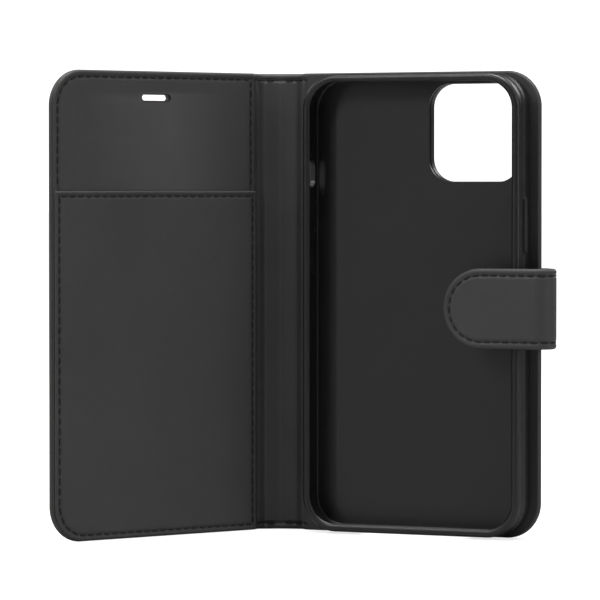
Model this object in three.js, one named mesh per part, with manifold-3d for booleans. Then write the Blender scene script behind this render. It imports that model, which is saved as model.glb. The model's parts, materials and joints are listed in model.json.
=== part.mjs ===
// Phone wallet case: a book-style leather cover with a moulded tray for the phone, a card and
// cash pocket in the front cover, and a magnetic strap. Millimetres, +Z up. The case stands on
// its bottom edges, half open. The back cover lies along X and its inside faces -Y.
import * as THREE from 'three';
import { mergeVertices } from 'three/addons/utils/BufferGeometryUtils.js';
import Module from 'manifold-3d';

// ---- driving dimensions ----
const PHONE = { width: 75.7, height: 150.9, thickness: 8.3 };
const COVER_HEIGHT = 156;
const COVER_THICKNESS = 2.8;
const COVER_CORNER = 12;          // corner radius at the fore-edge
const HINGE_CORNER = 1.4;         // corner radius beside the spine
const BACK_WIDTH = 86.1;
const FRONT_WIDTH = 85;
const SPINE_PITCH = 15.3;         // from the back hinge line to the front hinge line
const HINGE_GAP = 1.6;            // from a hinge line to the edge of each stiff panel
const SPINE_TURN = 23.5;          // degrees that the spine is folded up from flat
const FRONT_TURN = 40.5;          // degrees that the front cover is folded up from the spine

const SKIN = 0.8;                 // outer leather
const BOARD = 0.9;
const LINING = 0.6;
const LAYER_GAP = 0.25;           // clearance between neighbouring layers
const SEAM_MARGIN = 3.35;         // width of the sewn border round each panel

const TRAY_WALL = 1.6;
const TRAY_FLOOR = 1;
const TRAY_LIP = 0.9;
const TRAY_CORNER = 12;
const TRAY_LIP_REACH = 1.2;       // how far the lip overhangs the bay
const TRAY_FROM_HINGE = 5.4;      // from the back hinge line to the tray's side
const TRAY_LIFT = 0.7;            // the tray stands this far off the lining, on its pad
const PHONE_PLAY = 0.2;           // clearance on each side of the phone
const BUTTON_WINDOW = { depth: 3.6, fromCover: 4.4 };
const BUTTON_CLEARANCE = 0.3;

const POCKET_HEIGHT = 116.4;
const POCKET_SHEET = 0.7;
const SPEAKER_SLOT = { length: 12, width: 2.3, height: 147.1 };
const CAMERA_WINDOW = { size: 33, corner: 8, fromSide: 18, fromTop: 18 };
const PORT_SLOT = { length: 40, depth: 6, fromCover: 5.8 };
const MUTE_SLOT = { length: 9.6, depth: 5.2, fromCover: 5.8, height: 122 };

const STRAP = { width: 26.6, thickness: 2.6, height: 77, side: 18.3, tongue: 41.8 };
const STRAP_SKIN = 0.6;
const STRAP_ROOT = 1;             // from the fore-edge to the strap's root fold line
const STRAP_ROOT_GAP = 1.5;       // from the root fold line to the stiff part of the strap
const STRAP_BEND_GAP = 3;         // from the bend line to the stiff part on either side
const STRAP_OVER_TRAY = 0.4;      // the tucked tongue lies this far above the tray's lip
const ANCHOR_REACH = 10;          // how far the strap's root is sewn into the back cover
const MAGNET = { radius: 4, pitch: 10, fromTip: 13 };
const KEEPER = { width: 16, height: 24 };

// ---- worked-out dimensions ----
const HALF = COVER_THICKNESS / 2;
const TRAY_WIDTH = PHONE.width + 2 * (PHONE_PLAY + TRAY_WALL);
const TRAY_HEIGHT = PHONE.height + 2 * (PHONE_PLAY + TRAY_WALL);
const TRAY_BOTTOM = (COVER_HEIGHT - TRAY_HEIGHT) / 2;
const BAY_DEPTH = PHONE.thickness + 0.1;
const TRAY_FRONT = TRAY_LIFT + TRAY_FLOOR + BAY_DEPTH + TRAY_LIP;
const TRAY_SIDE = TRAY_FROM_HINGE + TRAY_WIDTH;
const FORE_EDGE = HINGE_GAP + BACK_WIDTH;
const STRAP_HALF = STRAP.thickness / 2;
const STRAP_RISE = HALF + TRAY_FRONT + STRAP_OVER_TRAY + STRAP_HALF;
const STRAP_LEAN = THREE.MathUtils.radToDeg(Math.asin(STRAP_RISE / STRAP.side));
const BACK_MIDDLE = HINGE_GAP + BACK_WIDTH / 2;
const STANDING_EDGE = (LINING + LAYER_GAP + COVER_THICKNESS) / 2;   // middle of the outer leather's edge

// ---- materials ----
const material = (color, roughness, metalness = 0) =>
  new THREE.MeshStandardMaterial({ color, roughness, metalness });
const LEATHER = () => material(0x383636, 0.55);
const LINING_LEATHER = () => material(0x3a3838, 0.6);
const GREYBOARD = () => material(0x8a8378, 0.9);
const TPU = () => material(0x1b1b1c, 0.45);
const ADHESIVE = () => material(0xd8d6cf, 0.7);
const STEEL = () => material(0xb9bcbe, 0.35, 1);
const STIFFENER = () => material(0x4b4a48, 0.85);

// ---- solids ----
const wasm = await Module();
wasm.setup();

function toSolid(geometry) {
  const bare = geometry.index ? geometry.toNonIndexed() : geometry.clone();
  bare.deleteAttribute('normal');
  bare.deleteAttribute('uv');
  const merged = mergeVertices(bare, 1e-4);
  return new wasm.Manifold(new wasm.Mesh({
    numProp: 3,
    vertProperties: new Float32Array(merged.attributes.position.array),
    triVerts: new Uint32Array(merged.index.array),
  }));
}

function toGeometry(solid) {
  const mesh = solid.getMesh();
  const geometry = new THREE.BufferGeometry();
  geometry.setAttribute('position', new THREE.BufferAttribute(new Float32Array(mesh.vertProperties), 3));
  geometry.setIndex(new THREE.BufferAttribute(new Uint32Array(mesh.triVerts), 1));
  geometry.computeVertexNormals();
  return geometry;
}

function cut(geometry, ...tools) {
  let solid = toSolid(geometry);
  for (const tool of tools) solid = solid.subtract(toSolid(tool));
  return toGeometry(solid);
}

// An outline with its own radius at each corner: bottom left, bottom right, top right, top left.
function outline(x0, y0, x1, y1, radii) {
  const [r0, r1, r2, r3] = Array.isArray(radii) ? radii : [radii, radii, radii, radii];
  const shape = new THREE.Shape();
  shape.moveTo(x0 + r0, y0);
  shape.lineTo(x1 - r1, y0);
  shape.absarc(x1 - r1, y0 + r1, r1, -Math.PI / 2, 0);
  shape.lineTo(x1, y1 - r2);
  shape.absarc(x1 - r2, y1 - r2, r2, 0, Math.PI / 2);
  shape.lineTo(x0 + r3, y1);
  shape.absarc(x0 + r3, y1 - r3, r3, Math.PI / 2, Math.PI);
  shape.lineTo(x0, y0 + r0);
  shape.absarc(x0 + r0, y0 + r0, r0, Math.PI, 1.5 * Math.PI);
  return shape;
}

// A flat sheet of the outline between two levels; bevel rounds its long edges a little.
function sheet(shape, z0, z1, bevel = 0, segments = 6) {
  const geometry = new THREE.ExtrudeGeometry(shape, {
    depth: z1 - z0 - 2 * bevel,
    curveSegments: segments,
    bevelEnabled: bevel > 0,
    bevelThickness: bevel,
    bevelSize: bevel,
    bevelOffset: -bevel,
    bevelSegments: 1,
  });
  return geometry.translate(0, 0, z0 + bevel);
}

function place(group, name, geometry, meshMaterial) {
  const mesh = new THREE.Mesh(geometry, meshMaterial);
  mesh.name = name;
  group.add(mesh);
  return mesh;
}

// A panel's outline, pulled in by the given margins: ends at the top and bottom, hinge beside a
// fold line, fore at the free edge. A panel's sides say which margin belongs to its left and right.
function panelOutline(panel, margin) {
  const radius = (side) => Math.max(panel.corner[side] - margin.ends, 0.6);
  const [left, right] = panel.sides;
  return outline(panel.x0 + margin[left], panel.y0 + margin.ends, panel.x1 - margin[right],
    panel.y1 - margin.ends, [radius(left), radius(right), radius(right), radius(left)]);
}

const evenMargin = (inset) => ({ ends: inset, hinge: inset, fore: inset });
const widen = (margin, by) => ({
  ends: margin.ends + by, hinge: margin.hinge + by, fore: margin.fore + by,
});

// The layers of a stiffened panel, as levels above the panel's middle plane.
const LEVELS = {
  outside: -HALF,
  skinInside: -HALF + SKIN,
  boardOutside: -HALF + SKIN + LAYER_GAP,
  boardInside: -HALF + SKIN + LAYER_GAP + BOARD,
  liningOutside: HALF - LINING,
  inside: HALF,
};

// Outer leather: full outline, thick at the sewn border and hollowed for the board.
function outerLeather(panel, ...tools) {
  const whole = sheet(panelOutline(panel, evenMargin(0)), LEVELS.outside, LEVELS.boardInside, 0.3);
  const hollow = sheet(panelOutline(panel, panel.seam), LEVELS.skinInside, HALF + 1);
  return cut(whole, hollow, ...tools);
}

function board(panel, ...tools) {
  const shape = panelOutline(panel, widen(panel.seam, LAYER_GAP));
  return cut(sheet(shape, LEVELS.boardOutside, LEVELS.boardInside), ...tools);
}

function lining(panel, ...tools) {
  const shape = panelOutline(panel, { ends: 0.15, hinge: panel.liningInset, fore: 0.15 });
  return cut(sheet(shape, LEVELS.liningOutside, LEVELS.inside, 0.2), ...tools);
}

// A through-cut with square ends in depth: the outline pushed past both faces.
function through(shape, reach = 20) {
  return sheet(shape, -reach, reach);
}

// ---- back cover and tray ----
const TRAY_MIDDLE = TRAY_FROM_HINGE + TRAY_WIDTH / 2;
const PHONE_SIDE = TRAY_MIDDLE + PHONE.width / 2;
const PHONE_TOP = TRAY_BOTTOM + TRAY_WALL + PHONE_PLAY + PHONE.height;

function cameraWindow(grow = 0) {
  const half = CAMERA_WINDOW.size / 2 + grow;
  const x = PHONE_SIDE - CAMERA_WINDOW.fromSide;
  const y = PHONE_TOP - CAMERA_WINDOW.fromTop;
  return through(outline(x - half, y - half, x + half, y + half, CAMERA_WINDOW.corner + grow));
}

function strapNotch(reach) {
  const half = STRAP.width / 2 - 0.3;
  const x0 = FORE_EDGE - reach;
  const shape = outline(x0, STRAP.height - half, FORE_EDGE + 2, STRAP.height + half, 0.5);
  return sheet(shape, LEVELS.skinInside, HALF + 1);
}

function backCover() {
  const group = new THREE.Group();
  group.position.z = -HALF;
  const panel = {
    x0: HINGE_GAP, x1: FORE_EDGE, y0: 0, y1: COVER_HEIGHT, sides: ['hinge', 'fore'],
    corner: { hinge: HINGE_CORNER, fore: COVER_CORNER }, seam: evenMargin(SEAM_MARGIN),
    liningInset: 0.5,
  };
  const notch = strapNotch(ANCHOR_REACH + LAYER_GAP);
  place(group, 'back_outer_leather', outerLeather(panel, notch, cameraWindow()), LEATHER());
  place(group, 'back_board', board(panel, notch, cameraWindow(2)), GREYBOARD());
  place(group, 'back_lining', lining(panel, cameraWindow()), LINING_LEATHER());
  const half = STRAP.width / 2 - 0.6;
  const anchor = outline(FORE_EDGE - ANCHOR_REACH, STRAP.height - half, FORE_EDGE - 0.1,
    STRAP.height + half, 0.6);
  place(group, 'strap_anchor', sheet(anchor, LEVELS.boardOutside, LEVELS.boardInside), LEATHER());
  return group;
}

function trayPad() {
  const shape = outline(TRAY_MIDDLE - 30, 12, TRAY_MIDDLE + 30, 112, 4);
  return sheet(shape, 0.2, TRAY_LIFT - 0.2);
}

// A round-ended bar whose length runs up the tray's side wall and whose depth runs across it.
function wallBar(x0, x1, height, length, depth, fromCover) {
  const shape = outline(-fromCover - depth / 2, height - length / 2, -fromCover + depth / 2,
    height + length / 2, depth / 2 - 0.01);
  return sheet(shape, x0, x1).rotateY(Math.PI / 2);
}

// A round-ended bar through the tray's bottom wall.
function portBar() {
  const { length, depth, fromCover } = PORT_SLOT;
  const shape = outline(TRAY_MIDDLE - length / 2, -fromCover - depth / 2, TRAY_MIDDLE + length / 2,
    -fromCover + depth / 2, depth / 2 - 0.01);
  return sheet(shape, TRAY_BOTTOM - 2, TRAY_BOTTOM + TRAY_WALL + 0.5).rotateX(-Math.PI / 2);
}

const BUTTONS = [
  { name: 'power_button', foreSide: true, height: 104.6, length: 19.4 },
  { name: 'volume_up_button', foreSide: false, height: 107.5, length: 11.4 },
  { name: 'volume_down_button', foreSide: false, height: 93.5, length: 11.4 },
];

function buttonWindow(button) {
  const side = button.foreSide ? TRAY_SIDE - TRAY_WALL / 2 : TRAY_FROM_HINGE + TRAY_WALL / 2;
  const { depth, fromCover } = BUTTON_WINDOW;
  return wallBar(side - 2, side + 2, button.height, button.length, depth, fromCover);
}

function buttonPad(button) {
  const side = button.foreSide ? TRAY_SIDE - TRAY_WALL / 2 : TRAY_FROM_HINGE + TRAY_WALL / 2;
  const out = button.foreSide ? 1 : -1;
  const faces = [side + out * (TRAY_WALL / 2 + 0.25), side - out * (TRAY_WALL / 2 - 0.25)];
  const { depth, fromCover } = BUTTON_WINDOW;
  const shrink = 2 * BUTTON_CLEARANCE;
  return wallBar(Math.min(...faces), Math.max(...faces), button.height, button.length - shrink,
    depth - shrink, fromCover);
}

function trayOutline(inset) {
  return outline(TRAY_FROM_HINGE + inset, TRAY_BOTTOM + inset, TRAY_SIDE - inset,
    TRAY_BOTTOM + TRAY_HEIGHT - inset, TRAY_CORNER - inset);
}

function trayShell() {
  const whole = sheet(trayOutline(0), TRAY_LIFT, TRAY_FRONT, 0.5);
  const bay = sheet(trayOutline(TRAY_WALL), TRAY_LIFT + TRAY_FLOOR, TRAY_FRONT - TRAY_LIP);
  const mouth = sheet(trayOutline(TRAY_WALL + TRAY_LIP_REACH), TRAY_LIFT + TRAY_FLOOR + 1, TRAY_FRONT + 1);
  const { length, depth, fromCover, height } = MUTE_SLOT;
  const mute = wallBar(TRAY_FROM_HINGE - 2, TRAY_FROM_HINGE + TRAY_WALL + 0.5, height, length,
    depth, fromCover);
  return cut(whole, bay, mouth, cameraWindow(), portBar(), mute, ...BUTTONS.map(buttonWindow));
}

function tray() {
  const group = new THREE.Group();
  place(group, 'tray_adhesive_pad', trayPad(), ADHESIVE());
  place(group, 'tray_shell', trayShell(), TPU());
  for (const button of BUTTONS) place(group, button.name, buttonPad(button), TPU());
  return group;
}

// ---- spine and front cover, each in a group that turns about its hinge line ----
const radians = THREE.MathUtils.degToRad;

// A strip of soft leather that lies along a fold line, inside the gap between two stiff panels.
function foldStrip(width, thickness, y0, y1) {
  const shape = outline(-width / 2, -thickness / 2, width / 2, thickness / 2, thickness / 2 - 0.01);
  return sheet(shape, y0, y1, 0, 3).rotateX(-Math.PI / 2);
}

function coverFold(group, name, x, turn) {
  const strip = foldStrip(2 * HINGE_GAP - 0.6, SKIN + LINING, 0.6, COVER_HEIGHT - 0.6);
  const mesh = place(group, name, strip, LEATHER());
  mesh.position.x = x;
  mesh.rotation.y = radians(turn);
}

function spine() {
  const group = new THREE.Group();
  group.position.z = -HALF;
  group.rotation.y = radians(SPINE_TURN);
  const panel = {
    x0: HINGE_GAP - SPINE_PITCH, x1: -HINGE_GAP, y0: 0.35, y1: COVER_HEIGHT - 0.35,
    sides: ['hinge', 'hinge'], corner: { hinge: HINGE_CORNER },
    seam: { ends: SEAM_MARGIN, hinge: 1.2, fore: 1.2 }, liningInset: 0.15,
  };
  place(group, 'spine_outer_leather', outerLeather(panel), LEATHER());
  place(group, 'spine_board', board(panel), GREYBOARD());
  place(group, 'spine_lining', lining(panel), LINING_LEATHER());
  coverFold(group, 'back_fold_leather', 0, -SPINE_TURN / 2);
  coverFold(group, 'front_fold_leather', -SPINE_PITCH, FRONT_TURN / 2);
  group.add(frontCover());
  return group;
}

function speakerSlot(grow = 0) {
  const x = -HINGE_GAP - FRONT_WIDTH / 2;
  const halfLength = SPEAKER_SLOT.length / 2 + grow;
  const halfWidth = SPEAKER_SLOT.width / 2 + grow;
  return through(outline(x - halfLength, SPEAKER_SLOT.height - halfWidth, x + halfLength,
    SPEAKER_SLOT.height + halfWidth, halfWidth - 0.01));
}

// The steel plate lies where the strap's magnets land when the strap is wrapped round.
function keeperOutline(grow) {
  const x = -(FORE_EDGE + STRAP_ROOT - STRAP.tongue + MAGNET.fromTip);
  const w = KEEPER.width / 2 + grow;
  const h = KEEPER.height / 2 + grow;
  return outline(x - w, STRAP.height - h, x + w, STRAP.height + h, 1.5);
}

function pocketPanel() {
  const level = HALF + LAYER_GAP;
  const inset = 0.15;
  const shape = outline(-HINGE_GAP - FRONT_WIDTH + inset, inset, -HINGE_GAP, POCKET_HEIGHT,
    [COVER_CORNER - inset, HINGE_CORNER, 0.5, 0.5]);
  return sheet(shape, level, level + POCKET_SHEET, 0.2);
}

function frontCover() {
  const group = new THREE.Group();
  group.position.x = -SPINE_PITCH;
  group.rotation.y = radians(FRONT_TURN);
  const panel = {
    x0: -HINGE_GAP - FRONT_WIDTH, x1: -HINGE_GAP, y0: 0, y1: COVER_HEIGHT, sides: ['fore', 'hinge'],
    corner: { hinge: HINGE_CORNER, fore: COVER_CORNER }, seam: evenMargin(SEAM_MARGIN),
    liningInset: 0.5,
  };
  place(group, 'front_outer_leather', outerLeather(panel, speakerSlot()), LEATHER());
  place(group, 'front_board', board(panel, speakerSlot(1), through(keeperOutline(LAYER_GAP))), GREYBOARD());
  place(group, 'front_lining', lining(panel, speakerSlot()), LINING_LEATHER());
  place(group, 'pocket_panel', pocketPanel(), LINING_LEATHER());
  const keeper = sheet(keeperOutline(0), LEVELS.boardOutside, LEVELS.boardInside);
  place(group, 'strap_keeper_plate', keeper, STEEL());
  return group;
}

// ---- strap: a side piece from the back cover's fore-edge and a tongue that folds over ----
const STRAP_LEVELS = {
  outside: -STRAP_HALF,
  skinInside: -STRAP_HALF + STRAP_SKIN,
  coreOutside: -STRAP_HALF + STRAP_SKIN + LAYER_GAP,
  coreInside: STRAP_HALF - STRAP_SKIN - LAYER_GAP,
  liningOutside: STRAP_HALF - STRAP_SKIN,
  inside: STRAP_HALF,
};
const STRAP_SEAM = 2.4;

function sideOutline(inset) {
  const half = STRAP.width / 2 - inset;
  return outline(STRAP_ROOT_GAP + inset, STRAP.height - half, STRAP.side - STRAP_BEND_GAP - inset,
    STRAP.height + half, 0.6);
}

// The tongue is straight-sided with a half-round tip.
function tongueOutline(inset) {
  const half = STRAP.width / 2 - inset;
  const tip = half - 0.01;
  return outline(STRAP_BEND_GAP + inset, STRAP.height - half, STRAP.tongue - inset,
    STRAP.height + half, [0.6, tip, tip, 0.6]);
}

function strapLayers(group, prefix, shapeAt, ...coreTools) {
  const level = STRAP_LEVELS;
  const whole = sheet(shapeAt(0), level.outside, level.coreInside, 0.25);
  const hollow = sheet(shapeAt(STRAP_SEAM), level.skinInside, STRAP_HALF + 1);
  const core = sheet(shapeAt(STRAP_SEAM + LAYER_GAP), level.coreOutside, level.coreInside);
  const inner = sheet(shapeAt(0.1), level.liningOutside, level.inside, 0.15);
  place(group, `${prefix}_outer_leather`, cut(whole, hollow), LEATHER());
  place(group, `${prefix}_core`, cut(core, ...coreTools), STIFFENER());
  place(group, `${prefix}_inner_leather`, inner, LINING_LEATHER());
}

function magnetDisc(side, grow, z0, z1) {
  const shape = new THREE.Shape();
  const x = STRAP.tongue - MAGNET.fromTip;
  shape.absarc(x, STRAP.height + (side * MAGNET.pitch) / 2, MAGNET.radius + grow, 0, 2 * Math.PI);
  return sheet(shape, z0, z1, 0, 16);
}

function strapFold(group, name, width, thickness, turn) {
  const half = STRAP.width / 2 - 0.3;
  const strip = foldStrip(width, thickness, STRAP.height - half, STRAP.height + half);
  const mesh = place(group, name, strip, LEATHER());
  mesh.rotation.y = radians(turn);
}

function tongue() {
  const group = new THREE.Group();
  group.position.x = STRAP.side;
  group.rotation.y = -radians(180 - STRAP_LEAN);
  const holes = [-1, 1].map((side) => magnetDisc(side, LAYER_GAP, -5, 5));
  strapLayers(group, 'strap_tongue', tongueOutline, ...holes);
  const { coreOutside, coreInside } = STRAP_LEVELS;
  place(group, 'lower_magnet', magnetDisc(-1, 0, coreOutside, coreInside), STEEL());
  place(group, 'upper_magnet', magnetDisc(1, 0, coreOutside, coreInside), STEEL());
  return group;
}

function strap() {
  const group = new THREE.Group();
  group.position.set(FORE_EDGE + STRAP_ROOT, 0, -HALF);
  group.rotation.y = -radians(STRAP_LEAN);
  strapLayers(group, 'strap_side', sideOutline);
  strapFold(group, 'strap_root_fold', 1.4, 1.2, STRAP_LEAN / 2);
  const bend = new THREE.Group();
  bend.position.x = STRAP.side;
  strapFold(bend, 'strap_bend_fold', 3.6, 2.4, STRAP_LEAN / 2);
  group.add(bend, tongue());
  return group;
}

// ---- the whole case, stood up with its origin at the middle of the back cover's bottom edge ----
const upright = new THREE.Group();
upright.rotation.x = Math.PI / 2;
upright.add(backCover(), tray(), spine(), strap());

const group = new THREE.Group();
group.position.set(-BACK_MIDDLE, -STANDING_EDGE, 0);
group.add(upright);

export default group;
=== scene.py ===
"""The looks of the phone wallet case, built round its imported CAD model.

Lengths are in millimetres until they become mesh coordinates. A cover point is (s, z, w) on the opened-out
cover: s runs along it from the back hinge line towards the strap, z is up, and w is the height above the
cover's middle plane, towards the inside. A tray point is (x, z, level), with level above the back lining."""

import json
import math

import bmesh
import bpy
import numpy as np
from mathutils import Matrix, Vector

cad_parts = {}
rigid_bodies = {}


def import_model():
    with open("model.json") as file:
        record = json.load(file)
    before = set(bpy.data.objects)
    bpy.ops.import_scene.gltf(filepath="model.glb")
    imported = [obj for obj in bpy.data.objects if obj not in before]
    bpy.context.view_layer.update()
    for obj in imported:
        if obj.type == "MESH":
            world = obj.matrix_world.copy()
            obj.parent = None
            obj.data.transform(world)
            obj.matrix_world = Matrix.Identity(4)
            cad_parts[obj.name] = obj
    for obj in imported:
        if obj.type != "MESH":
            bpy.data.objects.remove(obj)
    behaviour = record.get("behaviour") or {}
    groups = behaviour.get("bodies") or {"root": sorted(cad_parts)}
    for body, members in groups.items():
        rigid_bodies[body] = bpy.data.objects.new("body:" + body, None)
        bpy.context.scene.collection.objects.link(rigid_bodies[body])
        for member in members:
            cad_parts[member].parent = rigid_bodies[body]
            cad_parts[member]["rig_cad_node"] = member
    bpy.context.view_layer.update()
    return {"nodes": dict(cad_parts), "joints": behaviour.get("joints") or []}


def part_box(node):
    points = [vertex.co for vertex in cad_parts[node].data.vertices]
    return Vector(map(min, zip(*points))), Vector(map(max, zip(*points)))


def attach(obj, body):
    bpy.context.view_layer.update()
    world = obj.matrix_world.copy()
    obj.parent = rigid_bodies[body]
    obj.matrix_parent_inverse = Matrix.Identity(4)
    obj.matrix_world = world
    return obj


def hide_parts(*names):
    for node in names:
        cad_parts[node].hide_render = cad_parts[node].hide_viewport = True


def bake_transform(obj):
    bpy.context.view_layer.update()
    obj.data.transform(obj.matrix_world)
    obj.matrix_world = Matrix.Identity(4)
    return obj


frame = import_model()

MM = 0.001

# ---- places and sizes that come from the frame ----
joints = {j["name"]: j for j in frame["joints"]}


def joint_line(name):
    """Where a joint's upright axis stands, as (x, y) in millimetres."""
    return np.array(joints[name]["pos_m"][:2]) / MM


def node_points(name):
    return np.array([v.co for v in frame["nodes"][name].data.vertices]) / MM


def heading(name, towards):
    """The horizontal direction that a flat node's width runs in, pointing away from a place."""
    flat = node_points(name)[:, :2]
    middle = flat.mean(0)
    along = np.linalg.eigh(np.cov((flat - middle).T))[1][:, 1]
    return along if along @ (middle - towards) > 0 else -along


def span(node, axis):
    lo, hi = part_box(node)
    return lo[axis] / MM, hi[axis] / MM


BACK_LINE = joint_line("back_hinge")
FRONT_LINE = joint_line("front_hinge")
SPINE_PITCH = np.linalg.norm(FRONT_LINE - BACK_LINE)
HEIGHT = span("back_outer_leather", 2)[1]
HINGE_GAP = span("back_outer_leather", 0)[0] - BACK_LINE[0]
BACK_FORE = span("back_outer_leather", 0)[1] - BACK_LINE[0]
HALF = BACK_LINE[1] - span("back_lining", 1)[0]
spine_heading = (FRONT_LINE - BACK_LINE) / SPINE_PITCH
front_heading = heading("front_board", FRONT_LINE)
SPINE_TURN = math.atan2(-spine_heading[1], -spine_heading[0])
FRONT_TURN = math.atan2(-front_heading[1], -front_heading[0]) - SPINE_TURN
FRONT_FORE = -SPINE_PITCH - ((node_points("front_outer_leather")[:, :2] - FRONT_LINE) @ front_heading).max()
POCKET_TOP = span("pocket_panel", 2)[1]
SPINE_MIDDLE = -SPINE_PITCH / 2

# ---- sizes of the visible detail ----
CORNER = 12
HINGE_CORNER = 1.4
STITCH_INSET = 2.2
STITCH_PITCH = 3.3
STITCH_LENGTH = 2.6
THREAD_RADIUS = 0.25
VALLEY = 0.3
BAND = 4.2  # width of a sheet's sewn border
RING_STEP = 0.5
CORNER_STEPS = 30
FOLD_REACH = 3.0  # how far each side of a hinge line the leather bends
LINING_LEVEL = 0.75
SPINE_DRAW = 0.3
SPINE_BOW = 1.1
SPINE_PADDING = 0.5
BRIDGE = 0.3  # height of the leather between two stitches


# ---- meshes ----
def new_object(name, vertices, faces, material=None, smooth=True):
    mesh = bpy.data.meshes.new(name)
    mesh.from_pydata([tuple(v) for v in np.asarray(vertices) * MM], [], faces)
    obj = bpy.data.objects.new(name, mesh)
    bpy.context.scene.collection.objects.link(obj)
    bm = bmesh.new()
    bm.from_mesh(mesh)
    bmesh.ops.remove_doubles(bm, verts=bm.verts, dist=1e-7)
    bmesh.ops.recalc_face_normals(bm, faces=bm.faces)
    bm.to_mesh(mesh)
    bm.free()
    if material:
        mesh.materials.append(material)
    if smooth:
        smooth_by_angle(obj)
    return obj


def smooth_by_angle(obj, degrees=38):
    """Smooth shading, with edges sharper than the angle kept sharp."""
    mesh = obj.data
    mesh.polygons.foreach_set("use_smooth", [True] * len(mesh.polygons))
    bm = bmesh.new()
    bm.from_mesh(mesh)
    limit = math.radians(degrees)
    for edge in bm.edges:
        edge.smooth = len(edge.link_faces) == 2 and edge.calc_face_angle(0) < limit
    bm.to_mesh(mesh)
    bm.free()


def ring(rect, inset, step=RING_STEP, corner_steps=CORNER_STEPS):
    """One closed loop of a rounded rectangle (x0, y0, x1, y1, corner radii) pulled in by inset.
    Loops of the same rectangle have the same number of points at every inset."""
    x0, y0, x1, y1, radii = rect
    centres = []
    for (x, y, sx, sy), r in zip(((x0, y0, 1, 1), (x1, y0, -1, 1), (x1, y1, -1, -1), (x0, y1, 1, -1)), radii):
        reach = max(r, inset)
        centres.append((x + sx * reach, y + sy * reach, max(r - inset, 0)))
    lengths = (x1 - x0, y1 - y0, x1 - x0, y1 - y0)
    points = []
    for k, (cx, cy, r) in enumerate(centres):
        turn = math.pi + k * math.pi / 2 + np.linspace(0, math.pi / 2, corner_steps + 1)
        arc = np.stack([cx + r * np.cos(turn), cy + r * np.sin(turn)], 1)
        nx, ny, nr = centres[(k + 1) % 4]
        start_turn = math.pi + (k + 1) * math.pi / 2
        following = np.array([nx + nr * math.cos(start_turn), ny + nr * math.sin(start_turn)])
        count = max(2, int(lengths[k] / step))
        share = np.linspace(0, 1, count + 1)[1:-1, None]
        points += [arc, arc[-1] * (1 - share) + following * share]
    return np.concatenate(points)


def loft(name, loops, material=None, tube=False):
    """A closed skin through loops of equal length: capped at both ends, or joined end to end as a tube."""
    count = len(loops[0])
    vertices = np.concatenate(loops)
    here = np.arange(count)
    following = (here + 1) % count
    faces = []
    last = len(loops) if tube else len(loops) - 1
    for k in range(last):
        a, b = k * count, ((k + 1) % len(loops)) * count
        faces += np.stack([a + here, a + following, b + following, b + here], 1).tolist()
    if not tube:
        faces.append(list(range(count))[::-1])
        faces.append(list(range((len(loops) - 1) * count, len(loops) * count)))
    return new_object(name, vertices, faces, material)


def valley(offset):
    """Depth share of the sewn valley at a distance from the stitch line."""
    return 0.5 + 0.5 * np.cos(np.pi * np.clip(np.abs(offset) / 1.0, 0, 1))


def sewn_profile(low, high, roll=0.9, low_valley=VALLEY, high_valley=VALLEY, stitch=STITCH_INSET, seam=None):
    """The section of a sewn sheet from the middle of its underside, round its edge, to the middle of its top,
    as (inset, level) pairs. The edge is rolled, and the thread pulls a valley in each face."""
    depth = (high - low) / 2
    turns = np.radians([0, 18, 36, 54, 72, 90])
    edge = [(roll * (1 - math.cos(t)), high - min(roll, depth) * (1 - math.sin(t))) for t in turns]
    across = [stitch + o for o in (-1.0, -0.75, -0.5, -0.25, 0, 0.25, 0.5, 0.75, 1.0)]
    across += [BAND - 0.3, BAND, BAND + 1.3, BAND + 2.4]
    top = [(d, high - high_valley * valley(d - stitch)) for d in across if d > roll]
    under = [(d, low + low_valley * valley(d - stitch)) for d in across if d > roll]
    low_edge = [(d, low + high - level) for d, level in edge]
    notch = [(0, seam - 0.12), (0.16, seam - 0.04), (0.16, seam + 0.04), (0, seam + 0.12)] if seam else []
    return under[::-1] + low_edge[::-1] + notch + edge + top


def stitch_places(rect, inset=STITCH_INSET, pitch=STITCH_PITCH, keep=lambda p: True):
    """The two ends of each stitch along a closed loop of the rectangle, as flat points."""
    path = ring(rect, inset)
    path = np.concatenate([path, path[:1]])
    steps = np.linalg.norm(np.diff(path, axis=0), axis=1)
    along = np.concatenate([[0], np.cumsum(steps)])
    count = round(along[-1] / pitch)
    middles = (np.arange(count) + 0.5) * along[-1] / count
    ends = []
    for middle in middles:
        stops = [middle + side * STITCH_LENGTH / 2 for side in (-1, 1)]
        pair = [[np.interp(stop, along, path[:, k]) for k in (0, 1)] for stop in stops]
        if keep(np.mean(pair, axis=0)):
            ends.append(pair)
    return np.array(ends)


def pull_dimples(points, ends, depth=0.2, radius=0.5):
    """How far the surface sinks at each flat point, where the thread enters it."""
    holes = ends.reshape(-1, 2)
    following = np.roll(ends[:, 0], -1, axis=0)
    bridges = (ends[:, 1] + following) / 2
    bridges = bridges[np.linalg.norm(ends[:, 1] - following, axis=1) < 1.2]
    sink = np.zeros(len(points))
    for start in range(0, len(points), 4000):
        part = points[start : start + 4000]
        gap = ((part[:, None, :] - holes[None]) ** 2).sum(2).min(1)
        ridge = ((part[:, None, :] - bridges[None]) ** 2).sum(2).min(1)
        sink[start : start + 4000] = depth * np.exp(-gap / (2 * (radius / 2) ** 2))
        sink[start : start + 4000] -= BRIDGE * np.exp(-ridge / (2 * 0.3**2))
    return sink


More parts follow.
